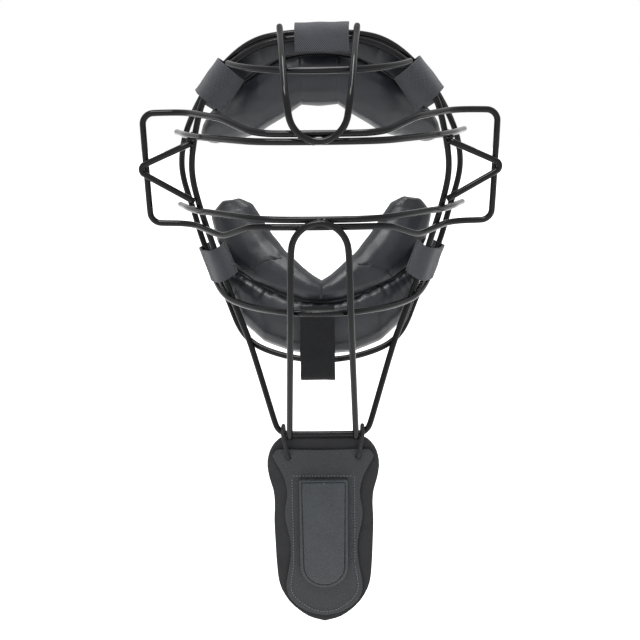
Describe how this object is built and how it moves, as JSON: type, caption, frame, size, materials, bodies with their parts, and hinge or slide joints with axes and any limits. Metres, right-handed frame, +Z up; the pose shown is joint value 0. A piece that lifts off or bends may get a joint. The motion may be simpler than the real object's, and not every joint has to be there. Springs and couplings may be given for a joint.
{
  "type": "catchers mask",
  "caption": "Wire face mask with an open eye slot and ear frames, crescent forehead pad, V-shaped chin pad on hook-and-loop straps, and a hanging throat protector.",
  "frame": {"origin": "the head seat: the middle of the rear ring's opening at eye level, on the plane of the ring's rearmost points", "axes": "+Z up; the mask's front faces -Y; +X is to the viewer's right when facing the front of the mask"},
  "size_m": [0.2858, 0.1466, 0.4956],
  "materials": {
    "powder_coat": "gloss black powder coat on round steel wire",
    "pad_leather": "smooth semi-gloss black pad cover",
    "pad_foam": "soft grey foam core",
    "webbing": "fine-weave charcoal webbing",
    "protector_felt": "matte black felt",
    "protector_leather": "pebbled black leather",
    "plate_plastic": "plain moulded plastic",
    "lace": "flat-woven black cord"
  },
  "bodies": {
    "mask": {"brow_bar": "powder_coat", "cheek_roll_left_back": "pad_leather", "cheek_roll_left_foam": "pad_foam", "cheek_roll_left_front": "pad_leather", "cheek_roll_right_back": "pad_leather", "cheek_roll_right_foam": "pad_foam", "cheek_roll_right_front": "pad_leather", "chin_bar": "powder_coat", "chin_cup_back": "pad_leather", "chin_cup_foam": "pad_foam", "chin_cup_front": "pad_leather", "chin_loop": "powder_coat", "chin_strap_left": "webbing", "chin_strap_middle": "webbing", "chin_strap_right": "webbing", "crown_loop": "powder_coat", "ear_loop": "powder_coat", "ear_strut_left": "powder_coat", "ear_strut_right": "powder_coat", "eye_bar_lower": "powder_coat", "eye_bar_upper": "powder_coat", "forehead_flange": "pad_leather", "forehead_lobe_left_back": "pad_leather", "forehead_lobe_left_foam": "pad_foam", "forehead_lobe_left_front": "pad_leather", "forehead_lobe_middle_back": "pad_leather", "forehead_lobe_middle_foam": "pad_foam", "forehead_lobe_middle_front": "pad_leather", "forehead_lobe_right_back": "pad_leather", "forehead_lobe_right_foam": "pad_foam", "forehead_lobe_right_front": "pad_leather", "forehead_strap_left": "webbing", "forehead_strap_middle": "webbing", "forehead_strap_right": "webbing", "front_hoop": "powder_coat", "rear_ring": "powder_coat"},
    "throat_protector": {"throat_backing": "protector_felt", "throat_face": "protector_leather", "throat_lace_left": "lace", "throat_lace_right": "lace", "throat_plate": "plate_plastic", "throat_tongue": "protector_leather"}
  },
  "joints": [
    {"name": "protector_swing", "type": "hinge", "parent": "mask", "child": "throat_protector", "pos_m": [0, -0.079, -0.2102], "axis": [1, 0, 0], "range_deg": [-55, 100]}
  ]
}
